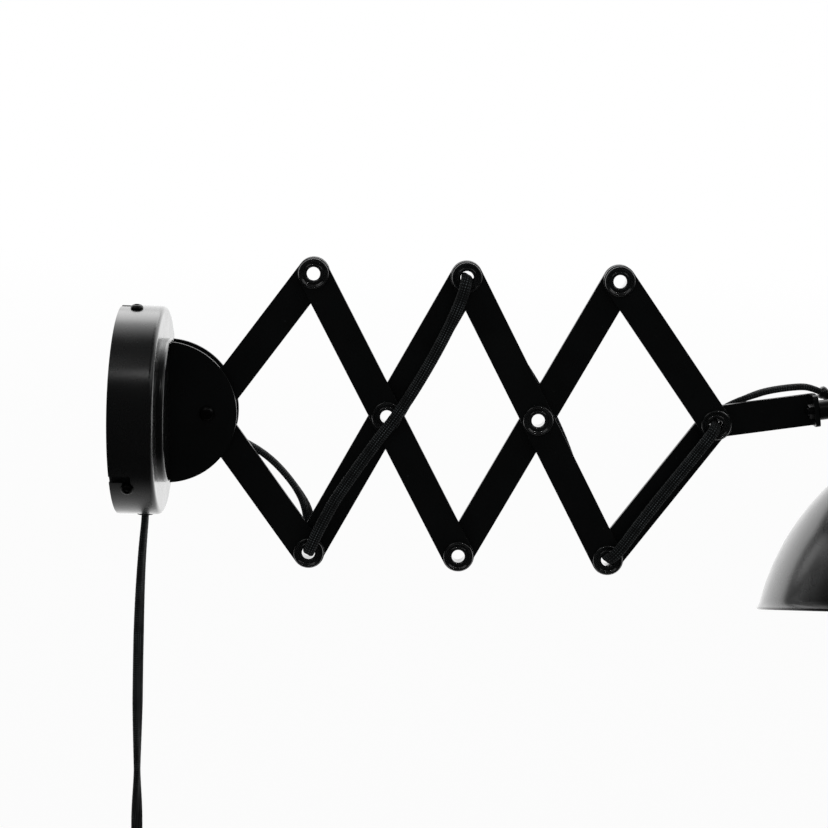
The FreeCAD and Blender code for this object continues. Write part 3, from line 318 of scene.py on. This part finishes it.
def braid():
    """Textile braid over two cores: crossing yarns, with paler dotted lines along the cord."""
    s = Shader("braided_black_textile", Specular_IOR_Level=0.25, Sheen_Weight=0.06, Sheen_Roughness=0.5)
    uv = s.node("ShaderNodeUVMap").outputs[0]
    parts = s.node("ShaderNodeSeparateXYZ")
    s.put(parts.inputs[0], uv)
    around, along = parts.outputs[0], parts.outputs[1]
    one_way = s.sum("ADD", s.sum("MULTIPLY", around, 20.0), s.sum("MULTIPLY", along, 16.0))
    other_way = s.sum("SUBTRACT", s.sum("MULTIPLY", around, 20.0), s.sum("MULTIPLY", along, 16.0))
    first = s.sum("ABSOLUTE", s.sum("SINE", s.sum("MULTIPLY", one_way, math.pi)))
    second = s.sum("ABSOLUTE", s.sum("SINE", s.sum("MULTIPLY", other_way, math.pi)))
    weave = s.sum("MULTIPLY", first, second)
    line = s.sum("PINGPONG", s.sum("MULTIPLY", around, 16.0), 0.5)
    on_line = s.span(line, 0.10, 0.19, 1.0, 0.0)
    dots = s.span(s.sum("SINE", s.sum("MULTIPLY", along, 2 * math.pi * 12.0)), -0.1, 0.5, 0.0, 1.0)
    worn = s.span(s.noise(130.0, 3.0), 0.36, 0.62, 0.25, 1.0)
    stitches = s.sum("MULTIPLY", s.sum("MULTIPLY", on_line, dots), worn)
    base = s.mix(weave, grey(0.0020, COOL), grey(0.010, COOL))
    s.colour(s.mix(s.sum("MULTIPLY", stitches, 0.9), base, grey(0.16, COOL)))
    s.roughness(s.span(s.noise(600.0, 3.0), 0.3, 0.7, 0.62, 0.82))
    fibres = s.sum("MULTIPLY", s.noise(3500.0, 2.0), 0.35)
    s.bump(s.sum("ADD", s.sum("ADD", weave, fibres), s.sum("MULTIPLY", stitches, 0.5)), 0.7, 0.00025)
    return s.material


def strap_weave():
    s = Shader("woven_black_strap", Specular_IOR_Level=0.25, Sheen_Weight=0.3)
    wave = s.node("ShaderNodeTexWave", wave_type="BANDS", bands_direction="Y")
    s.put(wave.inputs["Vector"], s.place)
    wave.inputs["Scale"].default_value = 320.0
    wave.inputs["Distortion"].default_value = 1.5
    s.colour(s.mix(wave.outputs["Fac"], grey(0.006), grey(0.020)))
    s.roughness(s.span(s.noise(500.0), 0.3, 0.7, 0.7, 0.9))
    s.bump(wave.outputs["Fac"], 0.4, 0.00020)
    return s.material


MATERIALS = {
    make.__name__: make()
    for make in (satin_paint, smooth_paint, gloss_enamel, blackened_steel, zinc_steel, brass, moulded_black,
                 moulded_white, glossy_sleeve, rubber, white_enamel, braid, strap_weave)
}
FINISH_OF_SLOT = {
    "painted": "satin_paint",
    "eyelet_black": "gloss_enamel",
    "dark_screw": "blackened_steel",
    "zinc_steel": "zinc_steel",
    "plastic_black": "moulded_black",
    "plastic_white": "moulded_white",
    "rubber_black": "rubber",
    "brass": "brass",
    "cord_black": "braid",
}


SPUN_NODES = ("canopy_cover", "arm_base")


def finish_frame():
    """Every node of the frame gets the finish of its own material slot, except the spun nodes, which get the smooth
    black paint.
    """
    slots = {part["node"]: part["material_slot"] for part in frame["record"]["subparts"]}
    for name, node in frame["nodes"].items():
        finish = "smooth_paint" if name in SPUN_NODES else FINISH_OF_SLOT[slots[name]]
        material = MATERIALS[finish]
        node.data.materials.clear()
        node.data.materials.append(material)


# Meshes
def new_piece(name, mesh, *materials):
    for material in materials:
        mesh.materials.append(MATERIALS[material])
    piece = bpy.data.objects.new(name, mesh)
    bpy.context.scene.collection.objects.link(piece)
    return piece


def smooth(mesh, sharp_from=40.0):
    for face in mesh.polygons:
        face.use_smooth = True
    mesh.set_sharp_from_angle(angle=math.radians(sharp_from))


def smooth_line(route):
    """The points of the smooth open line that a route steers."""
    curve = bpy.data.curves.new("line", "CURVE")
    curve.dimensions = "3D"
    curve.resolution_u = 16
    spline = curve.splines.new("NURBS")
    spline.points.add(len(route) - 1)
    for point, place in zip(spline.points, route):
        point.co = (*place, 1.0)
    spline.order_u = 3
    spline.use_endpoint_u = True
    holder = bpy.data.objects.new("line", curve)
    bpy.context.scene.collection.objects.link(holder)
    mesh = bpy.data.meshes.new_from_object(holder)
    points = [v.co.copy() for v in mesh.vertices]
    bpy.data.objects.remove(holder)
    bpy.data.meshes.remove(mesh)
    return points


def evenly(points, step):
    """Points at an even step along a line, and its length."""
    lengths = [0.0]
    for here, there in zip(points, points[1:]):
        lengths.append(lengths[-1] + (there - here).length)
    count = max(2, round(lengths[-1] / step))
    found = []
    index = 0
    for number in range(count + 1):
        target = lengths[-1] * number / count
        while index < len(points) - 2 and lengths[index + 1] < target:
            index += 1
        run = lengths[index + 1] - lengths[index]
        share = (target - lengths[index]) / run if run > 0 else 0.0
        found.append(points[index].lerp(points[index + 1], min(max(share, 0.0), 1.0)))
    return found, lengths[-1]


def direction_at(hints, share):
    """A direction between hints that are evenly spaced along a piece."""
    place = share * (len(hints) - 1)
    index = min(int(place), len(hints) - 2)
    return hints[index].lerp(hints[index + 1], place - index).normalized()


def skin(name, line, length, ring_at, sides, hints, scale):
    """A closed tube round a line; ring_at(share, distance) gives each ring's points as (side, lift)."""
    made = bmesh.new()
    rings = []
    last = len(line) - 1
    for number, centre in enumerate(line):
        share = number / last
        ahead = (line[min(number + 1, last)] - line[max(number - 1, 0)]).normalized()
        side = direction_at(hints, share)
        side = (side - ahead * side.dot(ahead)).normalized()
        lift = ahead.cross(side)
        ring = [made.verts.new(centre + side * a + lift * b) for a, b in ring_at(share, share * length)]
        rings.append(ring)
    layer = made.loops.layers.uv.new("along")
    for number, (near, far) in enumerate(zip(rings, rings[1:])):
        low, high = (length * (number + k) / last / scale for k in (0, 1))
        for index in range(sides):
            after = (index + 1) % sides
            face = made.faces.new((near[index], near[after], far[after], far[index]))
            face.smooth = True
            corners = ((index, low), (index + 1, low), (index + 1, high), (index, high))
            for loop, (turn, along) in zip(face.loops, corners):
                loop[layer].uv = (turn / sides, along)
    made.faces.new(rings[0][::-1])
    made.faces.new(rings[-1])
    bmesh.ops.recalc_face_normals(made, faces=made.faces)
    mesh = bpy.data.meshes.new(name)
    made.to_mesh(mesh)
    made.free()
    return mesh


def twin_cord(name, route, hints, step=0.5 * MM, sides=40, braided=True):
    """A flat cord of two cores under one braid; hints are the directions of its width from end to end."""
    line, length = evenly(smooth_line(route), step)

    def ring_at(share, distance):
        points = []
        for index in range(sides):
            turn = 2 * math.pi * index / sides
            across = math.copysign(abs(math.cos(turn)) ** 0.8, math.cos(turn))
            waist = 1 - CORD_WAIST * math.exp(-(across / 0.35) ** 2)
            lift = math.copysign(abs(math.sin(turn)) ** 0.8, math.sin(turn)) * waist
            swell = 0.0
            if braided:
                slant = 2 * math.pi * distance / BRAID_PITCH
                strand = BRAID_STRANDS / 2 * turn
                swell = abs(math.sin(strand + slant / 2)) * abs(math.sin(strand - slant / 2)) * BRAID_DEPTH
            points.append(((CORD_WIDTH / 2 + swell) * across, (CORD_THICKNESS / 2 + swell) * lift))
        return points

    mesh = skin(name, line, length, ring_at, sides, hints, 18 * MM)
    return new_piece(name, mesh, "braid"), line, length


def across_bar(start, end):
    """The direction across a bar from one pivot to another, in the plane of the lattice."""
    return Y.cross(end - start).normalized()


# Camera, light and floor
def add_camera():
    level = Vector((math.cos(CAMERA_YAW), -math.sin(CAMERA_YAW), 0))
    ahead = Vector((math.sin(CAMERA_YAW) * math.cos(CAMERA_PITCH), math.cos(CAMERA_YAW) * math.cos(CAMERA_PITCH),
                    -math.sin(CAMERA_PITCH)))
    over = level.cross(ahead)
    right = level * math.cos(CAMERA_ROLL) + over * math.sin(CAMERA_ROLL)
    up = over * math.cos(CAMERA_ROLL) - level * math.sin(CAMERA_ROLL)
    data = bpy.data.cameras.new("camera")
    data.sensor_fit = "HORIZONTAL"
    data.sensor_width = SENSOR
    data.lens = LENS
    data.clip_start = 0.05
    data.clip_end = 200.0
    camera = bpy.data.objects.new("camera", data)
    turn = Matrix((right, up, -ahead)).transposed().to_4x4()
    camera.matrix_world = Matrix.Translation(CAMERA_PLACE) @ turn
    bpy.context.scene.collection.objects.link(camera)
    bpy.context.scene.camera = camera


def add_softbox(name, place, target, width, height, power):
    data = bpy.data.lights.new(name, "AREA")
    data.shape = "RECTANGLE"
    data.size = width
    data.size_y = height
    data.energy = power
    lamp = bpy.data.objects.new(name, data)
    lamp.location = place
    lamp.rotation_mode = "QUATERNION"
    lamp.rotation_quaternion = (target - place).to_track_quat("-Z", "Y")
    bpy.context.scene.collection.objects.link(lamp)


def add_light():
    middle = Vector((0.25, 0.0, 0.0))
    add_softbox("softbox_left", Vector((-0.75, -0.75, 1.25)), middle, 0.7, 0.9, 0.8)
    add_softbox("softbox_right", Vector((1.30, -0.55, 1.05)), middle, 0.6, 0.8, 0.8)
    add_softbox("softbox_top", Vector((0.20, 1.20, 1.30)), middle, 1.2, 0.8, 3.0)
    add_softbox("spark_left", Vector((-0.10, -1.10, 1.20)), middle, 0.05, 0.05, 0.22)
    add_softbox("spark_right", Vector((0.75, -1.00, 1.10)), middle, 0.05, 0.05, 0.22)


def add_world():
    """White where the camera sees it, and a studio that is bright behind the lamp and dim in front of it."""
    world = bpy.data.worlds.new("studio")
    world.use_nodes = True
    tree = world.node_tree
    light = tree.nodes["Background"]

    def make(kind, **settings):
        made = tree.nodes.new(kind)
        for key, value in settings.items():
            setattr(made, key, value)
        return made

    def number(operation, first, second):
        made = make("ShaderNodeMath", operation=operation)
        for socket, value in zip(made.inputs, (first, second)):
            if isinstance(value, bpy.types.NodeSocket):
                tree.links.new(value, socket)
            else:
                socket.default_value = value
        return made.outputs[0]

    def between(share, first, second):
        made = make("ShaderNodeMix", data_type="FLOAT")
        for socket, value in zip((made.inputs[0], made.inputs[2], made.inputs[3]), (share, first, second)):
            if isinstance(value, bpy.types.NodeSocket):
                tree.links.new(value, socket)
            else:
                socket.default_value = value
        return made.outputs[0]

    def fade(value, low, high, out_low, out_high):
        made = make("ShaderNodeMapRange", clamp=True, interpolation_type="SMOOTHSTEP")
        tree.links.new(value, made.inputs[0])
        for socket, part in zip(made.inputs[1:5], (low, high, out_low, out_high)):
            socket.default_value = part
        return made.outputs[0]

    ray = make("ShaderNodeLightPath").outputs
    parts = make("ShaderNodeSeparateXYZ")
    tree.links.new(make("ShaderNodeTexCoord").outputs["Generated"], parts.inputs[0])
    behind = fade(parts.outputs[1], -0.05, 0.62, 0.012, 1.3)
    above = fade(parts.outputs[2], 0.45, 0.98, 0.0, 0.04)
    mirrored = number("MAXIMUM", behind, above)
    lit = between(ray["Is Glossy Ray"], 0.35, mirrored)
    clear = number("MAXIMUM", ray["Is Camera Ray"], ray["Is Transmission Ray"])
    tree.links.new(between(clear, lit, 1.0), light.inputs["Strength"])
    light.inputs["Color"].default_value = (1, 1, 1, 1)
    bpy.context.scene.world = world


def add_floor():
    """A plain pale floor under the lamp, which keeps its shadow. In reflections it glows as a painted reflection,
    dim in front of the lamp and bright behind it.
    """
    reach = 60.0
    level = CAD_BOX[0].z - 0.03
    mesh = bpy.data.meshes.new("floor")
    corners = [(x * reach, y * reach, level) for x, y in ((-1, -1), (1, -1), (1, 1), (-1, 1))]
    mesh.from_pydata(corners, [], [(0, 1, 2, 3)])
    material = bpy.data.materials.new("pale_floor")
    material.use_nodes = True
    tree = material.node_tree
    for node in list(tree.nodes):
        tree.nodes.remove(node)
    paint = tree.nodes.new("ShaderNodeBsdfDiffuse")
    paint.inputs["Color"].default_value = (0.86, 0.86, 0.86, 1)
    glow = tree.nodes.new("ShaderNodeEmission")
    ray = tree.nodes.new("ShaderNodeLightPath").outputs
    place = tree.nodes.new("ShaderNodeNewGeometry").outputs["Position"]
    parts = tree.nodes.new("ShaderNodeSeparateXYZ")
    tree.links.new(place, parts.inputs[0])

    def fade(low, high, out_low, out_high):
        made = tree.nodes.new("ShaderNodeMapRange")
        tree.links.new(parts.outputs[1], made.inputs[0])
        for socket, part in zip(made.inputs[1:5], (low, high, out_low, out_high)):
            socket.default_value = part
        return made.outputs[0]

    # Painted reflection: seen in reflections the floor glows, dim in front of the lamp and bright behind it.
    mirrored = fade(-0.2, 1.0, 0.012, 1.2)
    shown = fade(0.8, 8.0, 0.95, 1.0)
    strength = tree.nodes.new("ShaderNodeMix")
    tree.links.new(ray["Is Glossy Ray"], strength.inputs[0])
    strength.inputs[2].default_value = 1.0
    tree.links.new(mirrored, strength.inputs[3])
    tree.links.new(strength.outputs[0], glow.inputs["Strength"])
    seen = tree.nodes.new("ShaderNodeMath")
    seen.operation = "MULTIPLY"
    tree.links.new(ray["Is Camera Ray"], seen.inputs[0])
    tree.links.new(shown, seen.inputs[1])
    share = tree.nodes.new("ShaderNodeMath")
    share.operation = "MAXIMUM"
    tree.links.new(seen.outputs[0], share.inputs[0])
    tree.links.new(ray["Is Glossy Ray"], share.inputs[1])
    both = tree.nodes.new("ShaderNodeMixShader")
    tree.links.new(share.outputs[0], both.inputs[0])
    tree.links.new(paint.outputs[0], both.inputs[1])
    tree.links.new(glow.outputs[0], both.inputs[2])
    out = tree.nodes.new("ShaderNodeOutputMaterial")
    tree.links.new(both.outputs[0], out.inputs[0])
    mesh.materials.append(material)
    floor = bpy.data.objects.new("floor", mesh)
    bpy.context.scene.collection.objects.link(floor)


# Cords
def place_of(joint):
    return next(Vector(j["pos_m"]) for j in frame["joints"] if j["name"] == joint)


def arm_cords():
    """The cord along the arm: one piece for each body that carries it."""
    wall, top_2, low_1 = place_of("arm_tilt"), place_of("fall_2_turn"), place_of("wall_bar_down_turn")
    low_3, head = place_of("head_bar_down_turn"), place_of("head_level")
    rising = across_bar(low_1, top_2)
    falling = across_bar(top_2, low_3)
    last = across_bar(low_3, head)
    edge_on = Y
    pieces = {
        "arm_cord_wall": (ARM_CORD_WALL, (edge_on, edge_on), "wall_base"),
        "arm_cord_1": (ARM_CORD_1, (edge_on, edge_on, edge_on, edge_on, rising + Y * 0.3, rising), "wall_bar_down"),
        "arm_cord_2": (ARM_CORD_2, (rising, rising), "rise_1"),
        "arm_cord_3": (ARM_CORD_3, (rising, falling, falling, falling, last), "fall_2"),
        "arm_cord_4": (ARM_CORD_4, (last, last), "head_bar_down"),
        "arm_cord_5": (ARM_CORD_5, (last, last * 0.6 + Y * 0.8, edge_on, edge_on), "head_arm"),
    }
    for name, (route, hints, body) in pieces.items():
        piece = twin_cord(name + "_braid", route, hints)[0]
        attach(piece, body)
        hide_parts(name)
    piece = twin_cord("arm_cord_6_braid", ARM_CORD_6, (edge_on, edge_on))[0]
    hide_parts("arm_cord_6")
    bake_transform(piece)


def cord_sleeve():
    """The smooth sleeve from the cord into the lampholder's cap, with a small collar at its start."""
    line, length = evenly(smooth_line(SLEEVE_ROUTE), 0.5 * MM)
    sides = 40

    def ring_at(share, distance):
        collar = 0.55 * MM * math.exp(-((distance - 2.0 * MM) / (1.6 * MM)) ** 4)
        lip = 0.9 if distance < 0.6 * MM else 1.0
        radius = (SLEEVE_RADIUS + collar) * lip
        flat = 1.08 - 0.08 * share
        return [(radius * flat * math.cos(2 * math.pi * i / sides), radius * math.sin(2 * math.pi * i / sides))
                for i in range(sides)]

    mesh = skin("cord_sleeve_smooth", line, length, ring_at, sides, (Y, Y), 18 * MM)
    piece = new_piece("cord_sleeve_smooth", mesh, "glossy_sleeve")
    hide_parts("cord_sleeve")
    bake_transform(piece)


def coil_points():
    """The coil's turns: they wind in, climb one layer in a half turn, and wind out."""
    centre = COIL_START + Y * COIL_OUTER_RADIUS
    step = COIL_PITCH / 2
    inner = COIL_TURNS - 1
    points = []
    for number in range(2 * COIL_TURNS * COIL_STEPS):
        half_turns = number / COIL_STEPS
        climb = min(max(half_turns - inner, 0.0), 1.0)
        climb = (1 - math.cos(math.pi * climb)) / 2
        out = max(half_turns - inner - 1, 0.0)
        radius = COIL_OUTER_RADIUS - step * min(half_turns, inner) + step * out
        turn = math.pi * (1 + half_turns)
        offset = Vector((COIL_LAYER * climb, radius * math.cos(turn), radius * math.sin(turn)))
        points.append((centre + offset) * MM)
    return points


def mains_cord():
    """The cord from the canopy to the plug, wound into a coil below the switch."""
    route = MAINS_ROUTE + coil_points() + TAIL_ROUTE
    top = (X * 0.35 + Y * 0.95).normalized()
    lower = (X * 0.7 + Y * 0.7).normalized()
    coiled = [X] * 30
    hints = [Y, top, lower, lower, Y] + coiled + [(X + Y).normalized(), Y]
    piece, line, length = twin_cord("mains_cord", route, hints, step=0.8 * MM, sides=28)
    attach(piece, "wall_base")
    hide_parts("mains_cord_drop", "mains_cord_coil", "mains_cord_tail")
    tie = coil_tie()
    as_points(line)


def coil_tie():
    """A woven strap wrapped round the turns, its end lapped over itself."""
    low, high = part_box("cord_tie")
    middle = (low + high) / 2
    half = (high - low) / 2
    thick = 1.0 * MM
    steps = 72
    made = bmesh.new()
    rows = []
    for number in range(steps + 9):
        turn = 2 * math.pi * number / steps - math.pi / 4
        power = 0.35
        lapped = 0.9 * MM if number > steps else 0.0
        across = math.copysign(abs(math.cos(turn)) ** power, math.cos(turn))
        down = math.copysign(abs(math.sin(turn)) ** power, math.sin(turn))
        row = []
        for outer in (0.0, thick):
            grow = lapped + outer - 1.2 * MM
            for edge in (-1, 1):
                row.append(made.verts.new(middle + Vector((
                    (half.x + grow) * across, edge * (half.y - 0.3 * MM * outer / thick), (half.z + grow) * down))))
        rows.append((row[0], row[1], row[3], row[2]))
    for near, far in zip(rows, rows[1:]):
        for index in range(4):
            after = (index + 1) % 4
            made.faces.new((near[index], near[after], far[after], far[index]))
    made.faces.new(rows[0][::-1])
    made.faces.new(rows[-1])
    bmesh.ops.recalc_face_normals(made, faces=made.faces)
    mesh = bpy.data.meshes.new("cord_tie_strap")
    made.to_mesh(mesh)
    made.free()
    smooth(mesh, 50.0)
    piece = new_piece("cord_tie_strap", mesh, "strap_weave")
    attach(piece, "wall_base")
    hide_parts("cord_tie")
    return piece


# Turned pieces
def bow(start, through, end, steps):
    """Points on the arc from start through a point to end, without its start."""
    ax, ay, bx, by, cx, cy = *start, *through, *end
    d = 2 * (ax * (by - cy) + bx * (cy - ay) + cx * (ay - by))
    a2, b2, c2 = ax * ax + ay * ay, bx * bx + by * by, cx * cx + cy * cy
    ox = (a2 * (by - cy) + b2 * (cy - ay) + c2 * (ay - by)) / d
    oy = (a2 * (cx - bx) + b2 * (ax - cx) + c2 * (bx - ax)) / d
    first = math.atan2(ay - oy, ax - ox)
    middle = math.atan2(by - oy, bx - ox)
    last = math.atan2(cy - oy, cx - ox)
    turn = 2 * math.pi
    sweep = (last - first) % turn
    if (middle - first) % turn > sweep:
        sweep -= turn
    radius = math.hypot(ax - ox, ay - oy)
    return [(ox + radius * math.cos(first + sweep * k / steps), oy + radius * math.sin(first + sweep * k / steps))
            for k in range(1, steps + 1)]


def turned(name, profile, place, axis, side, sides=160, finish_of=None):
    """A closed ring of a profile, (distance from the axis, height along it) in millimetres, round an axis."""
    cross = axis.cross(side)
    made = bmesh.new()
    rows = []
    for radius, height in profile:
        rows.append([made.verts.new(place + axis * height * MM
                                    + (side * math.cos(2 * math.pi * k / sides)
                                       + cross * math.sin(2 * math.pi * k / sides)) * radius * MM)
                     for k in range(sides)])
    for number, near in enumerate(rows):
        far = rows[(number + 1) % len(rows)]
        for index in range(sides):
            after = (index + 1) % sides
            face = made.faces.new((near[index], near[after], far[after], far[index]))
            face.material_index = finish_of(number) if finish_of else 0
    bmesh.ops.recalc_face_normals(made, faces=made.faces)
    mesh = bpy.data.meshes.new(name)
    made.to_mesh(mesh)
    made.free()
    smooth(mesh)
    return mesh


SHADE_RIM = (81.5, -132.0)
SHADE_TOP = (16.0, -35.0)
SHADE_ARC = 157.0
SHADE_SHEET = 1.0
SHADE_HOLE = 14.5
SHADE_UP = Vector((0.000174, 0.259172, 0.965831))
RIM_BEAD = 1.05


def shade_arc(steps):
    """Points outside and inside the shade from rim to top, as (distance from its axis, height)."""
    (rim, low), (top, high) = SHADE_RIM, SHADE_TOP
    across, rise = top - rim, high - low
    chord = math.hypot(across, rise)
    depth = math.sqrt(SHADE_ARC ** 2 - (chord / 2) ** 2)
    centre = ((rim + top) / 2 - rise / chord * depth, (low + high) / 2 + across / chord * depth)
    first = math.atan2(low - centre[1], rim - centre[0])
    last = math.atan2(high - centre[1], top - centre[0])
    outer, inner = ([(centre[0] + radius * math.cos(angle), centre[1] + radius * math.sin(angle))
                     for angle in (first + (last - first) * k / steps for k in range(steps + 1))]
                    for radius in (SHADE_ARC, SHADE_ARC - SHADE_SHEET))
    return outer, inner


def shade():
    """The shade: black outside, white enamel inside, its edge rolled into a bead."""
    steps = 56
    outer, inner = shade_arc(steps)
    middle = (SHADE_RIM[0] - 0.35, SHADE_RIM[1] + RIM_BEAD)
    bead = [(middle[0] + RIM_BEAD * math.cos(math.radians(a)), middle[1] + RIM_BEAD * math.sin(math.radians(a)))
            for a in range(-190, 61, 25)]
    ceiling = inner[-1][1] - 0.4 * SHADE_SHEET
    profile = outer[2:] + [(SHADE_HOLE, SHADE_TOP[1]), (SHADE_HOLE, SHADE_TOP[1] - SHADE_SHEET),
                           (inner[-1][0], ceiling)] + inner[-2:1:-1] + bead
    inside_from = len(outer[2:]) + 1
    inside_to = len(profile) - len(bead)
    mesh = turned("shade_bell", profile, place_of("shade_tilt"), SHADE_UP, X, 192,
                  lambda number: 1 if inside_from <= number < inside_to else 0)
    piece = new_piece("shade_bell", mesh, "smooth_paint", "white_enamel")
    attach(piece, "lamp_head")
    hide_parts("shade")


add_camera()
arm_cords()
cord_sleeve()
mains_cord()
shade()
finish_frame()
add_light()
add_world()
add_floor()

scene = bpy.context.scene
scene.view_settings.view_transform = "Standard"
